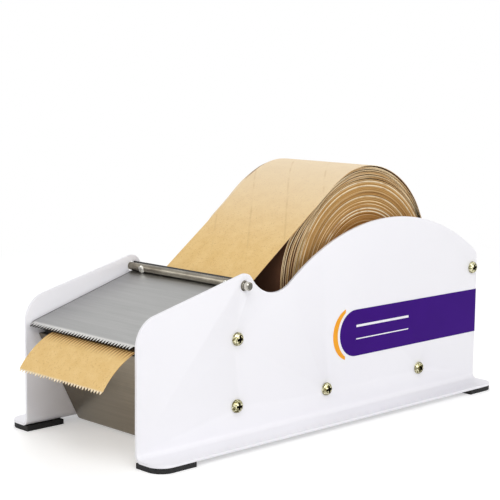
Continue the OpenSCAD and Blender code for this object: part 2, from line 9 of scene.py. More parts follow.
import bmesh
import bpy
from mathutils import Matrix, Vector


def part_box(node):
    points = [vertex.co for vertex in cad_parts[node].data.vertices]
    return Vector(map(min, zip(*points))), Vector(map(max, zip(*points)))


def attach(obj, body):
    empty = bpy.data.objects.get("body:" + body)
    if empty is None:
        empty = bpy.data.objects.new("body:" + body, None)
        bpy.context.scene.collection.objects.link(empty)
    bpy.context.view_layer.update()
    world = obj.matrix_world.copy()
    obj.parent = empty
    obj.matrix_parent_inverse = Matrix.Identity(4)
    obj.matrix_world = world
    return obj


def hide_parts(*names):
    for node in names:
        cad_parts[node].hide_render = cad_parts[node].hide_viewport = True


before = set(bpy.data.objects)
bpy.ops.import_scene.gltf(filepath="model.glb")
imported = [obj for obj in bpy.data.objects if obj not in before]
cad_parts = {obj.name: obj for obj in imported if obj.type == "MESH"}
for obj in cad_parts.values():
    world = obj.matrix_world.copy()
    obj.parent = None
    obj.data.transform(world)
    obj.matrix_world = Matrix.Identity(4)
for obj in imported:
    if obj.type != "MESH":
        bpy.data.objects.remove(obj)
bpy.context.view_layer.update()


# ---- Viewpoint ----
# A long lens in front of the machine and to its right, a little above the plates.
# The eye's place is in millimetres from the origin on the table.
def placed(name, data):
    """A new object in the scene, which holds a mesh, a lamp or the camera."""
    thing = bpy.data.objects.new(name, data)
    bpy.context.scene.collection.objects.link(thing)
    return thing


MM = 0.001
eye = Vector((608.95, -599.75, 218.45)) * MM
swing, nod, tilt = (math.radians(degrees) for degrees in (45.726, 7.766, 0.609))
lens_in_pixels, picture_pixels, sensor_mm = 1374.4, 500, 36
ahead = Vector((-math.sin(swing) * math.cos(nod), math.cos(swing) * math.cos(nod), -math.sin(nod)))
level = Vector((math.cos(swing), math.sin(swing), 0))
upright = level.cross(ahead)
to_right = level * math.cos(tilt) + upright * math.sin(tilt)
to_top = upright * math.cos(tilt) - level * math.sin(tilt)
camera = placed("viewpoint", bpy.data.cameras.new("viewpoint"))
camera.data.sensor_width = sensor_mm
camera.data.lens = lens_in_pixels / picture_pixels * sensor_mm
aimed = Matrix((to_right, to_top, -ahead)).transposed().to_4x4()
camera.matrix_world = Matrix.Translation(eye) @ aimed
bpy.context.scene.camera = camera
bpy.context.scene.view_settings.view_transform = "Standard"


# ---- Table and light ----
# A white table that runs out into a white room. It keeps the machine's soft
# shadow, and shows white to the lens and in reflections.
class Nodes:
    """A node tree, and the steps that looks and shapes are made of."""

    def __init__(self, tree):
        self.tree = tree

    def add(self, kind, inputs=None, **settings):
        """Adds a node: an input given as a socket is linked, any other value is set."""
        node = self.tree.nodes.new(kind)
        for setting, value in settings.items():
            setattr(node, setting, value)
        for key, value in (inputs or {}).items():
            if isinstance(value, bpy.types.NodeSocket):
                self.tree.links.new(value, node.inputs[key])
            else:
                node.inputs[key].default_value = value
        return node.outputs

    def calc(self, operation, *values):
        """One arithmetic step on sockets and numbers."""
        return self.add("ShaderNodeMath", dict(enumerate(values)), operation=operation)[0]

    def times(self, first, *others):
        for other in others:
            first = self.calc("MULTIPLY", first, other)
        return first

    def plus(self, first, second):
        return self.calc("ADD", first, second)

    def minus(self, first, second):
        return self.calc("SUBTRACT", first, second)

    def vector(self, operation, *values):
        """One step on vectors. A length comes out as a number."""
        results = self.add("ShaderNodeVectorMath", dict(enumerate(values)), operation=operation)
        return results["Value" if operation == "LENGTH" else "Vector"]

    def join(self, x=0.0, y=0.0, z=0.0):
        return self.add("ShaderNodeCombineXYZ", {0: x, 1: y, 2: z})[0]

    def parts(self, vector):
        return self.add("ShaderNodeSeparateXYZ", {0: vector})

    def remap(self, value, from_low, from_high, to_low=0.0, to_high=1.0, smooth=False):
        """Carries a value from one range to another, and keeps it inside."""
        ends = {1: from_low, 2: from_high, 3: to_low, 4: to_high}
        return self.add("ShaderNodeMapRange", {0: value, **ends},
                        interpolation_type="SMOOTHSTEP" if smooth else "LINEAR")[0]

    def spot(self):
        """The place on the object, in metres from the origin on the table."""
        return self.add("ShaderNodeTexCoord")["Object"]

    def glow(self, strength):
        return self.add("ShaderNodeEmission", {"Color": pure_white, "Strength": strength})[0]

    def seen_directly(self):
        """1 for a ray of the lens or of a reflection, 0 for one that lights a surface."""
        ray = self.add("ShaderNodeLightPath")
        shiny = self.calc("MAXIMUM", ray["Is Glossy Ray"], ray["Is Transmission Ray"])
        return self.calc("MAXIMUM", ray["Is Camera Ray"], shiny)


def emptied(owner):
    """The node tree of a material or a world, without the nodes it comes with."""
    owner.use_nodes = True
    owner.node_tree.nodes.clear()
    return Nodes(owner.node_tree)


pure_white = (1, 1, 1, 1)
table_size, table_grey, table_lift = 8.0, 0.88, 0.36
white_from, white_at = 0.22, 0.75
table_paint = bpy.data.materials.new("white table")
look = emptied(table_paint)
fade = look.remap(look.vector("LENGTH", look.spot()), white_from, white_at, smooth=True)
seen = look.seen_directly()
matt = look.add("ShaderNodeBsdfDiffuse", {"Color": (table_grey, table_grey, table_grey, 1)})[0]
lift = look.glow(look.times(seen, table_lift))
near = look.add("ShaderNodeAddShader", {0: matt, 1: lift})[0]
far_share = look.times(fade, seen)
far = look.add("ShaderNodeMixShader", {0: far_share, 1: near, 2: look.glow(1.0)})[0]
look.add("ShaderNodeOutputMaterial", {"Surface": far})
bpy.ops.mesh.primitive_plane_add(size=table_size)
table = bpy.context.object
table.name = "white_table"
table.data.materials.append(table_paint)

room_light = 0.44
room = bpy.data.worlds.new("white room")
bpy.context.scene.world = room
look = emptied(room)
brightness = look.remap(look.seen_directly(), 0.0, 1.0, room_light, 1.0)
sky = look.add("ShaderNodeBackground", {"Color": pure_white, "Strength": brightness})[0]
look.add("ShaderNodeOutputWorld", {"Surface": sky})


def softbox(name, place, size, power, mirrored=True):
    """A square lamp that faces the machine's middle. Place and size are in metres,
    power in watts, and a lamp that isn't mirrored leaves no bright patch on metal."""
    lamp = bpy.data.lights.new(name, "AREA")
    lamp.shape = "SQUARE"
    lamp.size = size
    lamp.energy = power
    holder = placed(name, lamp)
    holder.location = place
    to_machine = Vector((0, 0, 0.06)) - Vector(place)
    holder.rotation_euler = to_machine.to_track_quat("-Z", "Y").to_euler()
    holder.visible_glossy = mirrored


softbox("key_softbox", (0.95, -0.8, 1.35), 0.9, 9.2)
softbox("right_softbox", (1.6, 0.1, 0.5), 1.2, 7.5)
softbox("front_left_softbox", (-1.0, -1.3, 0.9), 1.0, 4.0)
softbox("low_front_softbox", (0.35, -1.5, 0.3), 0.8, 2.4, mirrored=False)
softbox("rear_left_softbox", (-1.3, 1.0, 1.0), 1.1, 13.0, mirrored=False)


# ---- Side plates ----
# Two folded steel sheets with an outward foot flange, powder coated in white. The
# coat is a little wavy, like fine orange peel, and rounds the sheet's edges.
def tint(red, green, blue):
    """A colour given as it shows on a screen, 0 to 255, for a shader's socket."""
    def linear(value):
        share = value / 255
        return share / 12.92 if share <= 0.04045 else ((share + 0.055) / 1.055) ** 2.4
    return (linear(red), linear(green), linear(blue), 1.0)


class Finish(Nodes):
    """A material, and the steps that its colour, gloss and relief are made of. Its
    shader's sockets are given with _ for a space."""

    def __init__(self, name, **sockets):
        self.material = bpy.data.materials.new(name)
        self.material.use_nodes = True
        super().__init__(self.material.node_tree)
        self.shader = self.tree.nodes["Principled BSDF"]
        for socket, value in sockets.items():
            self.shader.inputs[socket.replace("_", " ")].default_value = value

    def grain(self, size_mm, detail=2.0, roughness=0.5, shift=(0, 0, 0), place=None):
        """Noise, 0 to 1, with lumps of one size, or of a size along each axis."""
        sizes = size_mm if isinstance(size_mm, tuple) else (size_mm,) * 3
        moved = self.vector("ADD", place or self.spot(), shift)
        scaled = self.vector("MULTIPLY", moved, tuple(1 / (size * MM) for size in sizes))
        return self.add("ShaderNodeTexNoise", {"Vector": scaled, "Scale": 1.0, "Detail": detail,
                                               "Roughness": roughness})["Fac"]

    def spread(self, noise, low=0.0, high=1.0):
        """Stretches noise, most of which lies between 0.3 and 0.7, to two limits."""
        return self.remap(noise, 0.3, 0.7, low, high)

    def mix(self, share, first, second):
        """Mixes two colours, each a socket or a colour as it shows on a screen."""
        first, second = (tint(*tone) if isinstance(tone, tuple) else tone
                         for tone in (first, second))
        return self.add("ShaderNodeMix", {"Factor": share, 6: first, 7: second},
                        data_type="RGBA")[2]

    def layers(self, base, *coats):
        """Lays colours over a base, each by its share."""
        for share, tone in coats:
            base = self.mix(share, base, tone)
        return base

    def attribute(self, name):
        """What the faces were marked with."""
        return self.add("ShaderNodeAttribute", attribute_name=name)["Fac"]

    def chart(self):
        """Place on a sheet that is laid flat, in metres from its front left corner."""
        return self.add("ShaderNodeUVMap", uv_map="sheet")[0]

    def on_ends(self, low, high):
        """1 on faces that look along X, fading out between two slopes."""
        sideways = self.parts(self.add("ShaderNodeNewGeometry")["Normal"])[0]
        return self.remap(self.calc("ABSOLUTE", sideways), low, high)

    def give(self, socket, value):
        self.tree.links.new(value, self.shader.inputs[socket])

    def colour(self, share, first, second):
        self.give("Base Color", self.mix(share, first, second))

    def gloss(self, noise, low, high):
        self.give("Roughness", self.spread(noise, low, high))

    def relief(self, height, depth_mm):
        """Raises the surface where the height is 1, by the given depth."""
        sizes = {"Height": height, "Distance": depth_mm * MM, "Strength": 1.0}
        self.give("Normal", self.add("ShaderNodeBump", sizes)[0])


@contextmanager
def opened(piece):
    """Opens a piece's mesh for edits, and writes them back."""
    solid = bmesh.new()
    solid.from_mesh(piece.data)
    yield solid
    solid.to_mesh(piece.data)
    solid.free()


def copy_of(node, name):
    """A welded copy of a node's solid, with its flat faces made whole again."""
    piece = placed(name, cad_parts[node].data.copy())
    piece.data.materials.clear()
    with opened(piece) as solid:
        bmesh.ops.remove_doubles(solid, verts=solid.verts, dist=0.002 * MM)
        bmesh.ops.dissolve_limit(solid, angle_limit=math.radians(0.2), verts=solid.verts,
                                 edges=solid.edges)
    return piece


def apply_modifiers(piece):
    """Turns a piece with modifiers into a plain mesh."""
    evaluated = piece.evaluated_get(bpy.context.evaluated_depsgraph_get())
    mesh = bpy.data.meshes.new_from_object(evaluated)
    piece.modifiers.clear()
    piece.data = mesh


def soften(piece, width_mm, steps=3, from_angle=30):
    """Rounds every sharp edge of a piece by a small radius."""
    bevel = piece.modifiers.new("soft edges", "BEVEL")
    bevel.width = width_mm * MM
    bevel.segments = steps
    bevel.limit_method = "ANGLE"
    bevel.angle_limit = math.radians(from_angle)
    bevel.harden_normals = True
    bevel.use_clamp_overlap = True
    apply_modifiers(piece)


def soft_copy(node, name, width_mm):
    """A copy of a node's solid with rounded edges."""
    piece = copy_of(node, name)
    piece.data.shade_smooth()
    soften(piece, width_mm)
    return piece


def fit(piece, body, look, slot, *nodes):
    """Paints a piece, lets it ride on its body and puts it in the nodes' place."""
    piece.data.materials.clear()
    piece.data.materials.append(look.material)
    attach(piece, body)
    if nodes:
        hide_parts(*nodes)


coat = Finish("white powder coat", Coat_Weight=0.15, Coat_Roughness=0.25)
coat.colour(coat.grain(90, 1.0), (240, 239, 244), (244, 243, 247))
peel = coat.grain(1.1, 1.5)
coat.gloss(peel, 0.34, 0.46)
coat.relief(peel, 0.012)
for side in ("right", "left"):
    plate = soft_copy(f"{side}_side_plate", f"{side}_plate", 0.45)
    fit(plate, "frame", coat, "powder_coat", f"{side}_side_plate")

# ---- Foot pads ----
# Pads cut from black sheet rubber and glued under the four ends of the flanges.
# Their skin is matt and a little dusty.
rubber = Finish("black sheet rubber", Specular_IOR_Level=0.35)
dust = rubber.grain(3, 4.0, 0.7)
rubber.colour(rubber.remap(dust, 0.45, 0.75), (22, 22, 24), (52, 51, 50))
rubber.gloss(dust, 0.62, 0.85)
rubber.relief(rubber.grain(0.5), 0.03)
for corner in ("front_right", "rear_right", "front_left", "rear_left"):
    pad = soft_copy(f"{corner}_foot", f"{corner}_pad", 0.35)
    fit(pad, "frame", rubber, "foot_rubber", f"{corner}_foot")


# ---- Side screws ----
# Ten pan head screws with a cross recess, zinc plated and passivated yellow. They
# pass through the plates into the tapped ends of the tie rods.
def circle(radius, steps):
    """Points round a circle, as pairs."""
    return [(radius * math.cos(math.tau * step / steps), radius * math.sin(math.tau * step / steps))
            for step in range(steps)]


def made(name, solid):
    """A piece of the scene from an edited solid."""
    mesh = bpy.data.meshes.new(name)
    solid.to_mesh(mesh)
    solid.free()
    return placed(name, mesh)


def loft(name, loops, closed=False, capped=False):
    """A skin through loops of points. A loop of one point is a tip, a closed skin
    comes back to its first loop, and a capped one has a face on both end loops."""
    solid = bmesh.new()
    steps = max(len(loop) for loop in loops)
    rings = [[solid.verts.new(point) for point in loop] for loop in loops]
    rings = [ring * (steps // len(ring)) for ring in rings]
    for first, second in zip(rings, rings[1:] + rings[:closed]):
        for step in range(steps):
            after = (step + 1) % steps
            corners = (first[step], first[after], second[after], second[step])
            solid.faces.new(list(dict.fromkeys(corners)))
    if capped:
        solid.faces.new(rings[0])
        solid.faces.new(rings[-1])
    bmesh.ops.recalc_face_normals(solid, faces=solid.faces)
    return made(name, solid)


def shade(piece, sharp_from=32):
    """Smooth shading that breaks where faces meet at more than an angle."""
    piece.data.shade_smooth()
    piece.data.set_sharp_from_angle(angle=math.radians(sharp_from))


def turned(name, profile, axis=(0, 0), steps=64, closed=False):
    """A piece turned on a lathe about a line along X. The profile is a list of
    (x, radius) in millimetres, and axis is the line's (y, z) in metres."""
    piece = loft(name, [[(x * MM, axis[0] + y, axis[1] + z)
                         for y, z in circle(radius * MM, steps if radius else 1)]
                        for x, radius in profile], closed)
    shade(piece)
    return piece


def cross_cutter(name, span, width, top, depth):
    """A cross that narrows towards its tip, to sink a screw's recess along X."""
    half, arm = width / 2, span / 2
    outline = [(half, half), (arm, half), (arm, -half)]
    for _ in range(3):
        outline += [(z, -y) for y, z in outline[-3:]]
    above, tip = (top + 1.0, 1.15), (top - depth, 0.38)
    return loft(name, [[(x * MM, y * share * MM, z * share * MM) for y, z in outline]
                       for x, share in (above, tip)], capped=True)


def cut(piece, cutter):
    """Takes the cutter's space out of a piece, and removes the cutter."""
    boolean = piece.modifiers.new("cut", "BOOLEAN")
    boolean.object = cutter
    boolean.solver = "EXACT"
    apply_modifiers(piece)
    bpy.data.objects.remove(cutter)


head_r, head_h, shank_r, shank_len = 4.0, 2.8, 2.0, 10.0
thread_pitch, thread_depth = 0.7, 0.35
recess_span, recess_w, recess_depth, recess_reach = 5.4, 1.6, 1.9, 2.9
head_profile = [(head_h, 0), (head_h, 1.2), (head_h - 0.22, 2.4), (head_h - 0.75, 3.3),
                (head_h - 1.45, 3.82), (head_h - 2.1, head_r), (0.2, head_r), (0, head_r - 0.2),
                (0, shank_r)]
turns = int((shank_len - 1) / thread_pitch)
thread = [(-0.5 - index * thread_pitch / 2, shank_r - thread_depth * (index % 2))
          for index in range(2 * turns)]
shank_tip = [(-shank_len, shank_r - 0.5), (-shank_len, 0)]
pan_head = turned("pan_head", head_profile + thread + shank_tip, steps=48)
cut(pan_head, cross_cutter("recess", recess_span, recess_w, head_h, recess_depth))
soften(pan_head, 0.06, 1, 40)


def dome(radius):
    """Height of the head's outside at a distance from its middle."""
    for (x, outer), (next_x, inner) in zip(head_profile[6:0:-1], head_profile[5::-1]):
        if inner <= radius <= outer:
            return x + (next_x - x) * (outer - radius) / (outer - inner)
    return 0.0


def mark(piece, name, share):
    """Gives each face a number that the paint reads."""
    marks = piece.data.attributes.new(name, "FLOAT", "FACE")
    for face, entry in zip(piece.data.polygons, marks.data):
        entry.value = float(share(face))


def in_recess(face):
    x, off_axis = face.center.x / MM, math.hypot(face.center.y, face.center.z) / MM
    return 0 < x < dome(off_axis) - 0.1 and off_axis < recess_reach


mark(pan_head, "recess", in_recess)
zinc = Finish("yellow zinc plating", Metallic=1.0)
passivated = zinc.remap(zinc.grain(1.1, 3.0, 0.6), 0.44, 0.56)
# Dark olive blotches: partly the patchy passivate film, partly a painted dark reflection.
blotch_and_reflection = zinc.remap(zinc.grain(1.6, shift=(0.2, 0.5, 0.1)), 0.54, 0.6, 0.0, 0.75)
plating = zinc.mix(passivated, (116, 108, 56), (236, 232, 196))
# Painted shade: the marked recess faces are turned near black, over the plating and its blotches.
zinc.colour(zinc.attribute("recess"), zinc.mix(blotch_and_reflection, plating, (48, 42, 20)), (20, 16, 9))
zinc.gloss(zinc.grain(0.4), 0.16, 0.32)


class GeometryTree(Nodes):
    """A node tree that makes geometry, with named inputs for its sizes."""

    def __init__(self, name, **inputs):
        super().__init__(bpy.data.node_groups.new(name, "GeometryNodeTree"))
        sockets = [("Geometry", "INPUT", "Geometry"), ("Geometry", "OUTPUT", "Geometry")]
        for label, way, kind in sockets + [(key, "INPUT", kind) for key, kind in inputs.items()]:
            self.tree.interface.new_socket(label, in_out=way, socket_type="NodeSocket" + kind)
        self.given = self.add("NodeGroupInput")

    def drawn(self, low, high):
        """A number drawn for each point between two limits, by the tree's seed."""
        return self.add("FunctionNodeRandomValue", {2: low, 3: high, "Seed": self.given["Seed"]})[1]

    def copies(self, points, shape, **placing):
        """Puts a copy of an input object on every point."""
        instance = self.add("GeometryNodeObjectInfo", {"Object": self.given[shape]})["Geometry"]
        return self.add("GeometryNodeInstanceOnPoints",
                        {"Points": points, "Instance": instance, **placing})[0]

    def end(self, geometry):
        """Makes instances real, sets the material and leads the result out."""
        real = self.add("GeometryNodeRealizeInstances", {0: geometry})[0]
        painted = self.add("GeometryNodeSetMaterial",
                           {"Geometry": real, "Material": self.given["Material"]})[0]
        self.add("NodeGroupOutput", {0: painted})

    def grow(self, name, start, **values):
        """Runs the tree on a start mesh and returns the plain mesh as a new piece."""
        piece = placed(name, start)
        modifier = piece.modifiers.new(name, "NODES")
        modifier.node_group = self.tree
        for item in self.tree.interface.items_tree:
            if item.in_out == "INPUT" and item.name in values:
                modifier[item.identifier] = values[item.name]
        apply_modifiers(piece)
        return piece


row = GeometryTree("screws in a plate", Screw="Object", Facing="Vector", Seed="Int",
                   Material="Material")
facing, spin = (row.add("FunctionNodeEulerToRotation", {0: angles})[0]
                for angles in (row.given["Facing"], row.join(row.drawn(0.0, math.pi))))
pose = row.add("FunctionNodeRotateRotation", {0: facing, 1: spin}, rotation_space="LOCAL")[0]
row.end(row.copies(row.given["Geometry"], "Screw", Rotation=pose))


def middle(node):
    """The line along X through the middle of a round node, as (y, z)."""
    low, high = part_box(node)
    return ((low.y + high.y) / 2, (low.z + high.z) / 2)


foot_w = 19.0
outer_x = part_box("right_side_plate")[1].x - foot_w * MM
tie_nodes = ("upper_tank_tie_rod", "lower_tank_tie_rod", "front_roller_axle", "rear_roller_axle",
             "rear_tie_rod")
for side, sign in (("right", 1), ("left", -1)):
    seats = bpy.data.meshes.new(f"{side}_screw_seats")
    seats.from_pydata([(sign * outer_x, *middle(node)) for node in tie_nodes], [], [])
    screws = row.grow(f"{side}_screws", seats, Screw=pan_head, Seed=5, Material=zinc.material,
                      Facing=(0, 0, 0) if sign > 0 else (0, 0, math.pi))
    fit(screws, "frame", zinc, "zinc_screw", f"{side}_side_screws")
bpy.data.objects.remove(pan_head)


# ---- Tie rods and roller axles ----
# Bright drawn bar, faced and chamfered at both ends and tapped for the screws. Two
# behind the brush carry the tank, two low ones are the rollers' axles, and one ties
# the plates at the rear.
def bright_steel(name, light, dark, roughness, across=0.12):
    """Turned or drawn steel with fine rings about the X axis."""
    steel = Finish(name, Metallic=1.0)
    rings = steel.grain((across, 40, 40), 3.0, 0.7)
    steel.colour(steel.spread(steel.grain((14, 9, 9), 3.0)), light, dark)
    steel.gloss(rings, roughness - 0.07, roughness + 0.1)
    steel.relief(rings, 0.004)
    return steel


def radius_mm(node):
    """Radius of a round node that lies along X."""
    low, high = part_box(node)
    return (high.z - low.z) / 2 / MM


def other_end(profile):
    """The same turned profile at the left end."""
    return [(-x, radius) for x, radius in profile]


bar_steel = bright_steel("bright drawn bar", (205, 204, 202), (184, 183, 182), 0.24)
plate_t, tap_depth, tap_r, chamfer = 1.6, 10.4, 2.05, 0.5
half_inner = outer_x / MM - plate_t
for node in tie_nodes:
    rod_r = radius_mm(node)
    end = [(half_inner - tap_depth, 0), (half_inner - tap_depth, tap_r),
           (half_inner - chamfer, tap_r), (half_inner, tap_r + chamfer),
           (half_inner, rod_r - chamfer), (half_inner - chamfer, rod_r)]
    rod = turned(node.replace("_rod", "_bar").replace("_axle", "_spindle"),
                 other_end(end) + end[::-1], middle(node))
    fit(rod, "frame", bar_steel, "bright_rod", node)


# ---- Rollers ----
# Thin steel tubes on a pair of flanged nylon bushes each. The roll of tape lies on
# both and turns them.
def joined(name, pieces):
    """One piece of several that move together."""
    whole = bmesh.new()
    for piece in pieces:
        whole.from_mesh(piece.data)
        bpy.data.objects.remove(piece)
    return made(name, whole)


tube_steel = bright_steel("satin steel tube", (214, 214, 215), (196, 196, 198), 0.3, 0.2)
nylon = Finish("natural nylon", Roughness=0.5, Subsurface_Weight=0.15, Subsurface_Scale=0.002)
nylon.colour(nylon.grain((2.5, 1.2, 1.2)), (226, 222, 206), (236, 234, 222))
nylon.relief(nylon.grain((0.15, 0.9, 0.9)), 0.006)
tube_wall, flange_t, spigot, bore = 1.0, 1.5, 8.0, 4.05
for place in ("front", "rear"):
    tube_node, bush_node = f"{place}_roller_tube", f"{place}_roller_bushes"
    line, tube_r, tube_end = middle(tube_node), radius_mm(tube_node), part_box(tube_node)[1].x / MM
    inner_r = tube_r - tube_wall
    end = [(tube_end - 0.3, tube_r), (tube_end, tube_r - 0.25), (tube_end, inner_r + 0.2),
           (tube_end - 0.2, inner_r)]
    tube = turned(f"{place}_tube", other_end(end)[::-1] + end, line, closed=True)
    fit(tube, f"{place}_roller", tube_steel, "roller_steel", tube_node)
    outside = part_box(bush_node)[1].x / MM
    back, tip = outside - flange_t, outside - flange_t - spigot
    section = [(outside - 0.25, tube_r), (outside, tube_r - 0.25), (outside, bore + 0.3),
               (outside - 0.3, bore), (tip, bore), (tip, inner_r - 0.25),
               (tip + 0.5, inner_r - 0.02), (back, inner_r - 0.02), (back, tube_r - 0.1),
               (back + 0.1, tube_r)]
    bushes = joined(f"{place}_bushes", [turned("bush", profile, line, closed=True)
                                        for profile in (section, other_end(section))])
    fit(bushes, f"{place}_roller", nylon, "nylon", bush_node)


# ---- Water tank ----
# One folded tray of thin stainless sheet, brushed across its width. Its rear edge
# hooks over the upper tie rod, and its front wall leans back towards the foot.
def brushed(name, light, dark, low, high, streak):
    """Sheet steel brushed along X: long fine streaks in colour, gloss and relief."""
    steel = Finish(name, Metallic=1.0, Anisotropic=0.35)
    fine = steel.grain((38, streak, streak), 3.0, 0.65)
    broad = steel.grain((70, 3.5, 3.5), shift=(0.3, 0.1, 0.2))
    both = steel.plus(steel.times(fine, 0.75), steel.times(broad, 0.25))
    steel.colour(steel.remap(both, 0.36, 0.64), dark, light)
    steel.gloss(both, low, high)
    steel.relief(fine, 0.006)
    return steel


# The tank and its clip get a stainless colour painted darker and browner than the cover's: painted
# shade inside the machine and a painted reflection of the tape.
shaded_tank_steel = brushed("stainless tank sheet", (140, 130, 114), (124, 114, 98), 0.32, 0.42, 0.5)
tank = soft_copy("water_tank", "tank", 0.3)
with opened(tank) as solid:
    # The rounded folds leave faces without area, which are taken off
    bmesh.ops.dissolve_degenerate(solid, dist=0.02 * MM, edges=solid.edges)
    bmesh.ops.remove_doubles(solid, verts=solid.verts, dist=0.02 * MM)
fit(tank, "frame", shaded_tank_steel, "tank_stainless", "water_tank")
fit(soft_copy("brush_clip", "clip", 0.2), "frame", shaded_tank_steel, "tank_stainless", "brush_clip")


# ---- Brush ----
# A black moulded block with rows of tufts of black nylon bristle. It stands in the
# water along the tank's leaning front wall and wets the tape from below.
def bar(name, size, centre):
    """A plain block, of a size and about a centre in millimetres."""
    solid = bmesh.new()
    bmesh.ops.create_cube(solid, size=1.0)
    for corner in solid.verts:
        corner.co = (corner.co * Vector(size) + Vector(centre)) * MM
    return made(name, solid)


lean = math.radians(27.003)
block_t, block_h = 16.0, 26.0
block_low, block_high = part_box("brush_block")
brush_w = (block_high.x - block_low.x) / MM
block_foot = (0, block_high.y - block_t * MM * math.cos(lean), block_low.z)
in_tank = Matrix.Translation(block_foot) @ Matrix.Rotation(lean, 4, "X")
moulding = Finish("black moulded block")
skin = moulding.grain(0.8, 3.0)
moulding.colour(skin, (24, 24, 25), (38, 38, 40))
moulding.gloss(skin, 0.42, 0.6)
moulding.relief(skin, 0.02)
block = bar("brush_body", (brush_w, block_t, block_h), (0, block_t / 2, block_h / 2))
block.data.transform(in_tank)
block.data.shade_smooth()
soften(block, 0.6)
fit(block, "frame", moulding, "brush_plastic", "brush_block")

bristle = Finish("black nylon bristle", Specular_IOR_Level=0.5)
lengthwise = bristle.grain((0.6, 0.6, 8))
bristle.colour(lengthwise, (12, 12, 13), (34, 33, 33))
bristle.gloss(lengthwise, 0.3, 0.5)

brush = GeometryTree("tufts of bristle", Columns="Int", Rows="Int", Width="Float", Depth="Float",
                     Height="Float", Drop="Float", Tuft="Object", Bristle="Object", Seed="Int",
                     Material="Material")
given = brush.given
grid = brush.add("GeometryNodeMeshGrid", {"Size X": given["Width"], "Size Y": given["Depth"],
                                          "Vertices X": given["Columns"],
                                          "Vertices Y": given["Rows"]})[0]
tufts = brush.copies(grid, "Tuft", Rotation=brush.join(z=brush.drawn(0.0, math.tau)))
roots = brush.add("GeometryNodeRealizeInstances", {0: tufts})[0]
depth = brush.parts(brush.add("GeometryNodeInputPosition")[0])[1]
share = brush.plus(brush.calc("DIVIDE", depth, given["Depth"]), 0.5)
length = brush.minus(given["Height"], brush.times(share, given["Drop"]))
stretch = brush.join(1.0, 1.0, brush.times(length, brush.drawn(0.975, 1.0)))
splay = brush.add("FunctionNodeRandomValue",
                  {0: (-0.014, -0.014, 0.0), 1: (0.014, 0.014, 6.28), "Seed": given["Seed"]},
                  data_type="FLOAT_VECTOR")[0]
brush.end(brush.copies(roots, "Bristle", Rotation=splay, Scale=stretch))

# One tuft's roots, in rings round a middle strand, and one strand of unit length
root_step, strand_r, strand_sides = 0.46, 0.16, 4
tuft_mesh = bpy.data.meshes.new("tuft_roots")
tuft_mesh.from_pydata([(0, 0, 0)] + [(x, y, 0) for ring in (1, 2) for x, y in
                                     circle(ring * root_step * MM, 6 * ring)], [], [])
tuft_roots = placed("tuft_roots", tuft_mesh)
strand = loft("strand", [[(x, y, height) for x, y in circle(strand_r * MM * taper, strand_sides)]
                         for height, taper in ((0.0, 1.0), (0.6, 0.95), (1.0, 0.6))], capped=True)
long_strand, short_strand, tuft_columns, tuft_rows, block_rim = 40.4, 38.0, 34, 6, 3.0
tuft_step = brush_w / tuft_columns
bristles = brush.grow("bristles", bpy.data.meshes.new("bristles"), Columns=tuft_columns,
                      Rows=tuft_rows, Width=(brush_w - tuft_step) * MM,
                      Depth=(block_t - block_rim) * MM, Height=long_strand * MM,
                      Drop=(long_strand - short_strand) * MM, Tuft=tuft_roots, Bristle=strand,
                      Seed=11, Material=bristle.material)
bristles.data.transform(in_tank @ Matrix.Translation((0, block_t / 2 * MM, block_h * MM)))
bristles.data.shade_smooth()
fit(bristles, "frame", bristle, "bristle", "brush_bristles")
for pattern in (tuft_roots, strand):
    bpy.data.objects.remove(pattern)

# ---- Hinge rod and cover ----
# A drawn rod lies loose in both plates, grooved near its ends. The cover is
# stainless sheet, curled half round the rod, folded and toothed at its front.
hinge = middle("hinge_rod")
rod_end, rod_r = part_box("hinge_rod")[1].x / MM, radius_mm("hinge_rod")
groove_in, groove_out = outer_x / MM + 0.8, outer_x / MM + 1.7
groove_depth, nick = 0.6, 0.1
rod_half = [(rod_end, 0), (rod_end, rod_r - 0.6), (rod_end - 0.6, rod_r),
            (groove_out + nick, rod_r), (groove_out, rod_r - nick),
            (groove_out, rod_r - groove_depth), (groove_in, rod_r - groove_depth),
            (groove_in, rod_r - nick), (groove_in - nick, rod_r)]
hinge_rod = turned("cover_rod", rod_half + other_end(rod_half)[::-1], hinge)
rod_steel = Finish("drawn hinge rod", Metallic=1.0)
rings = rod_steel.grain((0.12, 40, 40), 3.0, 0.7)
stain = rod_steel.spread(rod_steel.grain((11, 4, 4), 3.0, 0.6))
# Between the plates the rod is painted a dark brown-grey, as painted shade and a painted reflection
# of the tape around it; outside the plates it keeps a bright steel colour. Its end faces are a
# darker grey.
shaded_middle_tone = rod_steel.mix(stain, (160, 154, 141), (116, 109, 97))
reach = rod_steel.calc("ABSOLUTE", rod_steel.parts(rod_steel.spot())[0])
outside_plates = rod_steel.remap(reach, outer_x - 3 * MM, outer_x)
neck = rod_steel.mix(outside_plates, shaded_middle_tone, (206, 202, 190))
rod_steel.colour(rod_steel.on_ends(0.5, 0.9), neck, (112, 110, 104))
rod_steel.gloss(rings, 0.1, 0.22)
rod_steel.relief(rings, 0.003)
fit(hinge_rod, "cover", rod_steel, "hinge_steel", "hinge_rod")


def along(degrees):
    """Unit step in the side view, at an angle above the way to the rear."""
    return Vector((math.cos(math.radians(degrees)), math.sin(math.radians(degrees))))


def bow(centre, radius, start, stop, step=0.8):
    """Points of an arc about a centre, between two angles in degrees."""
    count = math.ceil(abs(math.radians(stop - start)) * radius / step)
    return [centre + radius * along(start + (stop - start) * k / count) for k in range(count + 1)]


def straight(start, stop, step=2.0):
    """Points inside a straight run, without its ends."""
    count = math.ceil((stop - start).length / step)
    return [start.lerp(stop, k / count) for k in range(1, count)]


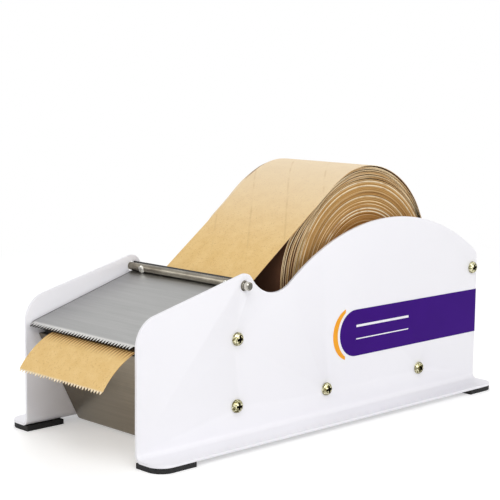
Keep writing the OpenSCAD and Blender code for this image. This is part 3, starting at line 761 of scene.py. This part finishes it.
def bent_sheet(name, stations, columns, thickness_mm, front=None):
    """A sheet through stations of (point, middle x, run), all in mm, from its front
    edge backwards. Columns are places across it, and front moves each of them back
    from the front edge. Its UV map is in metres, and cut_edge is 1 on its rim."""
    solid = bmesh.new()
    chart = solid.loops.layers.uv.new("sheet")
    backwards = (stations[1][0] - stations[0][0]).normalized()
    rows, flat_place = [], {}
    for point, middle_x, run in stations:
        line = []
        for column, x in enumerate(columns):
            back = front[column] if front and not rows else 0.0
            spot = point + back * backwards
            line.append(solid.verts.new(Vector((middle_x + x, spot.x, spot.y)) * MM))
            flat_place[line[-1]] = ((x - columns[0]) * MM, (run + back) * MM)
        rows.append(line)
    for first, second in zip(rows, rows[1:]):
        for k in range(len(columns) - 1):
            face = solid.faces.new((first[k], second[k], second[k + 1], first[k + 1]))
            for loop in face.loops:
                loop[chart].uv = flat_place[loop.vert]
    sheet = made(name, solid)
    wall = sheet.modifiers.new("thickness", "SOLIDIFY")
    wall.thickness = thickness_mm * MM
    wall.offset = 0.0
    wall.use_even_offset = True
    wall.material_offset_rim = 1
    for _ in ("face", "rim"):
        sheet.data.materials.append(None)
    apply_modifiers(sheet)
    mark(sheet, "cut_edge", lambda face: face.material_index == 1)
    for face in sheet.data.polygons:
        face.material_index = 0
    shade(sheet, 40)
    return sheet


hinge_mm = Vector(hinge) / MM
cover_low, cover_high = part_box("cover_plate")
cover_slope, tooth_slope, cover_t, curl = 16.8, 28.8, 1.0, 140
tooth_strip, tooth_pitch, tooth_depth, notch_line = 5.0, 2.6, 3.1, 4.2
corner_w, corner_depth = 1.5, 3.9
curl_r = rod_r + 0.05 + cover_t / 2
tooth_tip = Vector((cover_low.y / MM + cover_t * math.sin(math.radians(tooth_slope)),
                    cover_low.z / MM))
front_edge = tooth_tip + cover_t / 2 * along(tooth_slope + 90)
fold_line = front_edge + tooth_strip * along(tooth_slope)
curl_arc = bow(hinge_mm, curl_r, cover_slope - 90, cover_slope - 90 + curl, 0.5)
strip_run = [front_edge, front_edge + notch_line * along(tooth_slope), fold_line]
cover_run = strip_run + straight(fold_line, curl_arc[0], 12.0) + curl_arc
cover_half = (cover_high.x - cover_low.x) / 2 / MM
half_teeth = 2 * int((2 * cover_half - 2 * corner_w) / tooth_pitch) + 1
tooth_columns = [k * tooth_pitch / 2 - cover_half for k in range(half_teeth)]
tooth_columns += [tooth_columns[-1] + corner_w, cover_half]
tooth_front = [0.0 if k % 2 else tooth_depth for k in range(half_teeth)]
tooth_front += [tooth_depth, corner_depth]
cover_stations = [(point, 0.0, (point - front_edge).length) for point in cover_run]
cover = bent_sheet("cover_sheet", cover_stations, tooth_columns, cover_t, tooth_front)
soften(cover, 0.08, 1, 50)

steel = brushed("stainless cover sheet", (182, 182, 181), (158, 158, 157), 0.3, 0.44, 0.16)
plain = steel.shader.inputs["Base Color"].links[0].from_socket
u, v, _ = steel.parts(steel.chart())
# Painted highlight: the toothed strip in front of the fold is painted paler.
painted_tooth_highlight = steel.remap(v, (tooth_depth + 0.4) * MM, (tooth_depth + 1.6) * MM, 1.0, 0.0)
plain = steel.mix(painted_tooth_highlight, plain, (214, 213, 210))
# Painted shade: a dark line along the cover's left edge, where the gap to the plate lies in shade.
# The cut rim faces are darkened as well, partly as laser burn and partly as painted shade between
# the teeth.
painted_gap_shade = steel.times(steel.calc("LESS_THAN", u, 0.9 * MM), 0.85)
burnt_edge_and_shade = steel.calc("MAXIMUM", steel.attribute("cut_edge"), painted_gap_shade)
steel.colour(burnt_edge_and_shade, plain, (20, 18, 16))
steel.give("Metallic", steel.remap(burnt_edge_and_shade, 0.0, 1.0, 1.0, 0.2))
fit(cover, "cover", steel, "cover_stainless", "cover_plate")

# ---- Cover screws ----
# Two small slotted screws go through flats on the rod, from the front, into the
# curled edge behind it. They clamp the rod to the cover.
small_r, small_h, small_shank_r, flat, slot_w = 2.4, 1.4, 1.0, 1.6, 0.6
small_bottom = -(flat + curl_r + cover_t / 2)
small_profile = [(small_h, 0), (small_h, 1.3), (small_h - 0.2, 2.0), (small_h - 0.7, small_r),
                 (0.1, small_r), (0, small_r - 0.1), (0, small_shank_r),
                 (small_bottom, small_shank_r), (small_bottom, 0)]
screw_low, screw_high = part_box("cover_screws")
on_flat = (Matrix.Rotation(math.radians(cover_slope), 4, "X")
           @ Matrix.Translation((0, -flat * MM, 0)) @ Matrix.Rotation(-math.pi / 2, 4, "Z"))
pair = []
for x in (screw_low.x + small_r * MM, screw_high.x - small_r * MM):
    screw = turned("cover_screw", small_profile, steps=32)
    cut(screw, bar("slot", (1.0, slot_w, 3 * small_r), (small_h, 0, 0)))
    screw.data.transform(Matrix.Translation((x, *hinge)) @ on_flat)
    pair.append(screw)
small_steel = bright_steel("bright small screw", (240, 238, 230), (220, 218, 210), 0.16)
fit(joined("cover_clamp_screws", pair), "cover", small_steel, "small_screw", "cover_screws")


# ---- Side label ----
# Printed film on the right plate: a purple band with a round front end, an orange
# crescent beside it, and two plain white rules where a maker would print a name.
def inside(look, value, low, high):
    """1 where a value lies between two limits."""
    return look.times(look.calc("GREATER_THAN", value, low),
                     look.calc("LESS_THAN", value, high))


label_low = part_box("side_label")[0]
purple = Finish("purple label film", Roughness=0.42, Specular_IOR_Level=0.08)
ink = purple.mix(purple.grain(25), (52, 0, 114), (58, 2, 124))
_, rearwards, upwards = purple.parts(purple.spot())
rule_start, rule_stop, rules = 15.0, 66.0, 0.0
for height, thick in ((18.2, 1.5), (10.4, 0.7)):
    in_length = inside(purple, rearwards, label_low.y + rule_start * MM,
                       label_low.y + rule_stop * MM)
    in_height = inside(purple, upwards, label_low.z + height * MM,
                       label_low.z + (height + thick) * MM)
    rules = purple.plus(rules, purple.times(in_length, in_height))
purple.colour(rules, ink, (240, 238, 245))
orange = Finish("orange label film", Roughness=0.42, Specular_IOR_Level=0.2)
orange.colour(orange.grain(6), (240, 158, 30), (248, 172, 44))
for node, name, film, slot in (("side_label", "purple_band", purple, "label_purple"),
                               ("label_crescent", "orange_crescent", orange, "label_orange")):
    film.relief(film.grain(0.7), 0.004)
    fit(copy_of(node, name), "frame", film, slot, node)

# ---- Roll of tape ----
# Kraft paper wound on a board core. Its ends show the edges of the single laps,
# some a little proud of the others, and it rests on the two rollers.
roll_low, roll_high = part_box("tape_roll")
roll_line = middle("tape_roll")
roll_x = (roll_low.x + roll_high.x) / 2
tape_w = (roll_high.x - roll_low.x) / MM
wound_r, core_r = 62.8, radius_mm("roll_core")


def kraft_colour(look, place=None):
    """Kraft paper: soft clouds, short fibres and small dark specks."""
    cloud = look.spread(look.grain(9, 3.0, 0.6, place=place))
    fibre = look.grain((0.35, 1.6, 1.6), 3.0, 0.7, place=place)
    speck = look.grain(0.9, 2.0, 0.6, (0.7, 0.2, 0.4), place)
    colour = look.layers(look.mix(cloud, (229, 190, 122), (238, 203, 138)),
                         (look.remap(fibre, 0.52, 0.75, 0.0, 0.55), (246, 220, 168)),
                         (look.remap(speck, 0.58, 0.70, 0.0, 0.5), (190, 142, 78)))
    return colour, fibre


wound = Finish("edges of wound kraft paper", Roughness=0.85, Specular_IOR_Level=0.2)
spoke = wound.vector("ADD", wound.spot(), (0, -roll_line[0], -roll_line[1]))
spoke = wound.vector("MULTIPLY", spoke, (0, 1, 1))
from_axis_mm = wound.times(wound.vector("LENGTH", spoke), 1 / MM)
around = wound.parts(wound.vector("NORMALIZE", spoke))


def lap_noise(step_mm, wander, detail=2.0):
    """Noise that changes quickly from lap to lap and slowly round the roll."""
    place = wound.join(wound.calc("DIVIDE", from_axis_mm, step_mm),
                       *(wound.times(around[axis], wander) for axis in (1, 2)))
    return wound.add("ShaderNodeTexNoise", {"Vector": place, "Scale": 1.0, "Detail": detail})["Fac"]


def fine_rings(step_mm, low, high, strength):
    """Thin rings, about a step apart, that come and go round the roll."""
    line = wound.remap(lap_noise(step_mm, 0.036, 1.0), low, high)
    broken = wound.remap(lap_noise(3 * step_mm, 2.1, 3.0), 0.36, 0.6, 0.25, 1.0)
    return wound.times(line, broken, strength)


def wide_ring(radius, strength):
    """One pale ring at a radius in millimetres, broken here and there."""
    off_ring = wound.calc("ABSOLUTE", wound.minus(from_axis_mm, radius))
    broken = wound.remap(lap_noise(30.0, 5.0, 3.0), 0.34, 0.5, 0.3, 1.0)
    return wound.times(wound.remap(off_ring, 0.2, 0.5, strength, 0.0), broken)


single = lap_noise(0.5, 0.1)
zones = wound.remap(lap_noise(8.0, 0.15, 1.0), 0.4, 0.6, 0.0, 0.3)
ends = wound.layers(
    wound.mix(wound.remap(single, 0.35, 0.65), (150, 106, 52), (202, 160, 100)),
    (zones, (190, 146, 86)),
    (wound.remap(from_axis_mm, 42, 50, 0.6, 0.0), (164, 112, 52)),
    (fine_rings(0.95, 0.54, 0.60, 0.9), (104, 66, 28)),
    (fine_rings(0.85, 0.56, 0.62, 0.95), (246, 222, 178)),
    *((wide_ring(radius, strength), (250, 236, 204)) for radius, strength in
      ((42.6, 1.0), (44.5, 0.9), (34.4, 0.6), (61.5, 0.8), (58.7, 0.7), (52.0, 0.6))))
on_end = wound.on_ends(0.3, 0.6)
wound.colour(on_end, kraft_colour(wound)[0], ends)
wound.relief(wound.times(single, on_end), 0.15)

# A grid is rolled into a ring: along it run the right edges of the laps from the
# core outwards and the left edges back, four corners for each lap
laps = GeometryTree("wound laps", Laps="Int", Steps="Int", Inner="Float", Outer="Float",
                    Width="Float", Uneven="Float", Place="Vector", Material="Material")
given, calc = laps.given, laps.calc
times, plus, minus = laps.times, laps.plus, laps.minus
corners = times(given["Laps"], 4.0)
flat_grid = laps.add("GeometryNodeMeshGrid",
                     {"Size X": 1.0, "Size Y": 1.0, "Vertices X": plus(corners, 1.0),
                      "Vertices Y": plus(given["Steps"], 1.0)})[0]
across, about, _ = laps.parts(laps.add("GeometryNodeInputPosition")[0])
at_corner = calc("MODULO", calc("ROUND", times(plus(across, 0.5), corners)), corners)
on_left = calc("GREATER_THAN", at_corner, minus(times(given["Laps"], 2.0), 0.5))
return_step = minus(minus(corners, 1.0), at_corner)
step = laps.add("GeometryNodeSwitch", {0: on_left, 1: at_corner, 2: return_step},
                input_type="FLOAT")[0]
lap = calc("FLOOR", calc("DIVIDE", step, 2.0))
rim = calc("DIVIDE", plus(lap, calc("MODULO", step, 2.0)), given["Laps"])
radius = laps.remap(rim, 0.0, 1.0, given["Inner"], given["Outer"])
lot = laps.join(lap, times(on_left, 40.0))
group = laps.add("ShaderNodeTexNoise", {"Vector": lot, "Scale": 0.19, "Detail": 2.0})[0]
own_step = times(laps.add("ShaderNodeTexWhiteNoise", {"Vector": lot})[0], 0.35)
proud = times(minus(plus(group, own_step), 1.0), given["Uneven"])
half = plus(times(given["Width"], 0.5), proud)
outwards = minus(1.0, times(on_left, 2.0))
angle = times(about, math.tau)
on_ring = laps.join(times(half, outwards), times(radius, calc("COSINE", angle)),
                    times(radius, calc("SINE", angle)))
bent = laps.add("GeometryNodeSetPosition",
                {"Geometry": flat_grid, "Position": laps.vector("ADD", on_ring, given["Place"])})[0]
laps.end(laps.add("GeometryNodeMergeByDistance", {"Geometry": bent, "Distance": 0.02 * MM})[0])

wound_tape = laps.grow("wound_tape", bpy.data.meshes.new("wound_tape"), Laps=56, Steps=144,
                       Inner=(core_r + 0.02) * MM, Outer=wound_r * MM, Width=(tape_w - 0.6) * MM,
                       Uneven=0.5 * MM, Place=(roll_x, *roll_line), Material=wound.material)
with opened(wound_tape) as solid:
    bmesh.ops.recalc_face_normals(solid, faces=solid.faces)
shade(wound_tape)
fit(wound_tape, "roll", wound, "roll_paper", "tape_roll")

# ---- Core ----
# A spiral-wound tube of grey-brown board that the tape is wound on. Its ends are
# cut square with the tape, and their edges are a little worn.
board = Finish("core board", Roughness=0.9, Specular_IOR_Level=0.2)
pulp = board.grain((1.2, 0.5, 0.5), 4.0, 0.7)
board.colour(board.spread(pulp), (150, 122, 88), (186, 160, 122))
board.relief(pulp, 0.05)
core_half, core_edge, core_wall = tape_w / 2, 0.3, 3.0
core_bore_r = core_r - core_wall
core_end = [(core_half - core_edge, core_bore_r), (core_half, core_bore_r + core_edge),
            (core_half, core_r - core_edge), (core_half - core_edge, core_r)]
core = turned("board_core", other_end(core_end) + core_end[::-1], roll_line, closed=True)
core.data.transform(Matrix.Translation((roll_x, 0, 0)))
fit(core, "roll", board, "core_board", "roll_core")

# ---- Loose tape ----
# The free end of the gummed kraft tape: eleven slack laps that bulge at the roll's
# front, the run down and under the hinge rod, the run below the cover, and the end
# in front of it, torn off on the teeth and curled by the roll.

# Angle and radius of the outer lap about the roll's axis: pulled back at the rear,
# flat under the web, baggy at the front
lap_outline = [(15, 65.6), (33, 65.5), (44, 67.1), (56, 68.7), (72, 70.4), (84, 71.4), (95, 71.7),
               (105, 71.0), (114, 69.7), (124, 68.8), (134, 68.6), (142, 70.3), (150, 73.6),
               (158, 76.3), (166, 77.2), (174, 77.1), (186, 76.2), (200, 74.0), (215, 72.0),
               (235, 71.2), (270, 71.2), (305, 71.2), (325, 69.6), (345, 67.2)]


def outline(angle):
    """Radius of the outer lap at an angle about the roll's axis, smooth and closed."""
    places = [(at - 360, r) for at, r in lap_outline[-2:]] + lap_outline
    places += [(at + 360, r) for at, r in lap_outline[:2]]
    k = next(k for k in range(1, len(places) - 2)
             if places[k][0] <= angle % 360 < places[k + 1][0])
    (_, before), (start, low), (stop, high), (_, after) = places[k - 1:k + 3]
    t = (angle % 360 - start) / (stop - start)
    return (low + t * (high - before) / 2 + t * t * (before - 2.5 * low + 2 * high - after / 2)
            + t ** 3 * (1.5 * (low - high) + (after - before) / 2))


def angle_of(way):
    return math.degrees(math.atan2(way.y, way.x))


def ease(value, low, high):
    """Rises smoothly from 0 at low to 1 at high."""
    share = min(max((value - low) / (high - low), 0.0), 1.0)
    return share * share * (3 - 2 * share)


roll_mm = Vector(roll_line) / MM
rod_gap, tooth_gap = 0.5, 2.0
rod_bend_r = curl_r + cover_t / 2 + rod_gap
to_hinge = hinge_mm - tooth_tip
front_run = angle_of(to_hinge) + math.degrees(math.asin((tooth_gap - rod_bend_r) / to_hinge.length))


def web_slope(at):
    """Slope of the web from below the rod to the outer lap, if it left it at an angle."""
    to_lap = roll_mm + outline(at) * along(at) - hinge_mm
    return angle_of(to_lap) + math.degrees(math.asin(rod_bend_r / to_lap.length))


take_off = max(range(105, 132), key=web_slope)
rear_run = web_slope(take_off)
cut_line = tooth_tip - tooth_gap * along(front_run + 90)
strip_len, strip_slope, end_slope, fold_r = 26.5, 24.0, 54.0, 8.0
sag_r = strip_len / math.radians(end_slope - strip_slope)
fold_centre = cut_line - fold_r * along(front_run + 90)
sag_centre = fold_centre + (fold_r - sag_r) * along(strip_slope + 90)
strip = bow(sag_centre, sag_r, end_slope + 90, strip_slope + 90)[:-1]
fold = bow(fold_centre, fold_r, strip_slope + 90, front_run + 90)
under_rod = bow(hinge_mm, rod_bend_r, front_run - 90, rear_run - 90)
first_lap = roll_mm + outline(take_off) * along(take_off)
below_cover = straight(fold[-1], under_rod[0])
route = strip + fold + below_cover + under_rod + straight(under_rod[-1], first_lap)
cut_index, lap_index = len(strip + fold), len(route)
rod_index = cut_index + len(below_cover)

slack_laps, web_lap, lap_step, tape_t, slack_t, wander = 11, 100, 2.5, 0.28, 0.6, 0.03
for k in range(int((slack_laps - 0.3) * 360 / lap_step)):
    swept = k * lap_step
    share = 1 - max(0, swept - web_lap) / (slack_laps * 360)
    share += wander * math.sin(math.radians(0.73 * swept)) * (swept > 360)
    lap_r = wound_r + share * (outline(take_off - swept) - wound_r)
    lap_r -= (slack_t - tape_t) / 2 * (swept > web_lap)
    route.append(roll_mm + lap_r * along(take_off - swept))
web_end = lap_index + int(web_lap / lap_step)

roll_mid = roll_x / MM
tape_mid = {0: 8.5, cut_index: 7.5, rod_index: 11.5, lap_index: roll_mid + 3, web_end: roll_mid,
            len(route): roll_mid}
knots = sorted(tape_mid)
distance, stations = 0.0, []
for index, point in enumerate(route):
    if index:
        distance += (point - route[index - 1]).length
    low, high = next((a, b) for a, b in zip(knots, knots[1:]) if a <= index < b)
    middle_x = tape_mid[low] + (tape_mid[high] - tape_mid[low]) * (index - low) / (high - low)
    stations.append((point, middle_x, distance))

kraft = Finish("gummed kraft paper", Roughness=0.62, Specular_IOR_Level=0.3)
u, v, _ = kraft.parts(kraft.chart())
flat_place = kraft.join(u, v)
paper, fibre = kraft_colour(kraft, flat_place)
edge_tone = kraft.remap(kraft.grain((90, 45, 45), 3.0, place=flat_place), 0.4, 0.65)
edge = kraft.mix(edge_tone, (192, 146, 84), (248, 226, 184))

# A painted highlight, a pale sheen where the web runs free, and painted shade along faint slanted
# creases
free_from, free_by, sheen_full_by = 0.13, 0.15, 0.24
crease_slope, crease_step = math.radians(35), 12.5
painted_sheen = kraft.remap(v, free_from, sheen_full_by, 0.0, 0.6, smooth=True)
slanted = kraft.plus(kraft.times(u, math.cos(crease_slope)), kraft.times(v, math.sin(crease_slope)))
to_line = kraft.calc("PINGPONG", slanted, crease_step * MM)
patchy = kraft.remap(kraft.grain(12, place=flat_place), 0.4, 0.6, 0.1, 1.0)
# Painted shade along each crease line.
painted_crease_shade = kraft.times(kraft.remap(to_line, 0.2 * MM, 0.9 * MM, 0.3, 0.0),
                      kraft.remap(v, free_from, free_by), patchy)

# In front of the cutter, a painted shadow streak from each notch and a painted highlight between
# them, and behind it a dark band: partly the wet band that the brush leaves, mostly painted shade
# under the teeth and the cover
cut_at, streak_len = stations[cut_index][2] * MM, 6.8 * MM
to_tooth = kraft.calc("PINGPONG", u, tooth_pitch / 2 * MM)
uneven = kraft.times(kraft.grain((1.3, 50, 50), place=flat_place), 4.0 * MM)
faded = kraft.remap(kraft.plus(v, uneven), cut_at - streak_len, cut_at + 2 * MM, smooth=True)
faded = kraft.times(faded, kraft.remap(v, cut_at, cut_at + 1.5 * MM, 1.0, 0.0))
# Painted shadows of the teeth, as dark streaks on the tape.
marked = kraft.times(faded, kraft.remap(to_tooth, 0.3 * MM, 0.9 * MM, 1.0, 0.0))
painted_highlight_streaks = kraft.times(faded, kraft.remap(to_tooth, 0.9 * MM, 1.3 * MM, 0.0, 0.6))
# Painted shade under the teeth and the cover, on the band that the brush wets.
wet_band_and_shade = kraft.times(kraft.remap(v, cut_at, cut_at + 1.0 * MM, 0.0, 0.88),
                  kraft.remap(v, cut_at + 4 * MM, cut_at + 9 * MM, 1.0, 0.0, smooth=True))

# Pale fibres along the torn end, and painted shade in the hollows under the web and between laps
ragged = kraft.plus(v, kraft.times(fibre, 0.6 * MM))
fresh = kraft.remap(ragged, -0.6 * MM, 0.6 * MM, 0.9, 0.0)
second_turn = stations[lap_index + int(360 / lap_step)][2] * MM
shade_between_laps = kraft.remap(v, second_turn, second_turn + 10 * MM, 0.0, 0.6)
hollow_shade = kraft.calc("MAXIMUM", kraft.attribute("painted_hollow_shade"), shade_between_laps)
paper = kraft.layers(paper, (painted_sheen, (250, 236, 214)), (painted_crease_shade, (206, 170, 116)),
                     (marked, (150, 92, 34)), (painted_highlight_streaks, (248, 214, 142)), (wet_band_and_shade, (52, 31, 12)),
                     (fresh, (252, 240, 214)), (hollow_shade, (92, 40, 8)))
kraft.colour(kraft.times(kraft.attribute("cut_edge"), 0.9), paper, edge)
kraft.relief(fibre, 0.02)


def across_tape(columns):
    """Places from the left edge of the tape to its right one."""
    return [(column / (columns - 1) - 0.5) * tape_w for column in range(columns)]


torn_columns, slack_columns, hollow_shade_share = 61, 7, 0.92
chance = random.Random(7)
torn = [-chance.uniform(1.7, 2.4) if column % 2 else chance.uniform(-0.1, 0.2)
        for column in range(torn_columns)]
loose_tape = bent_sheet("loose_tape", stations[:web_end + 1], across_tape(torn_columns), tape_t,
                        torn)
slack_coils = bent_sheet("slack_laps", stations[web_end:], across_tape(slack_columns), slack_t)


def below_web(face):
    """Painted shade on the underside of the web, behind the hinge rod."""
    return hollow_shade_share * (face.normal.z < 0 and face.center.y / MM > hinge_mm.x + 8)


def before_roll(face):
    """Painted shade on the right half of the slack laps, where the web shades them."""
    at = angle_of(Vector(face.center.yz) / MM - roll_mm) % 360
    shaded = ease(at, 126, 132) * (1 - ease(at, 205, 230))
    return hollow_shade_share * shaded * (abs(face.normal.x) < 0.5 and face.center.x > 0)


for piece, shaded, nodes in ((loose_tape, below_web, ["tape_web"]), (slack_coils, before_roll, [])):
    mark(piece, "painted_hollow_shade", shaded)
    fit(piece, "frame", kraft, "kraft_tape", *nodes)
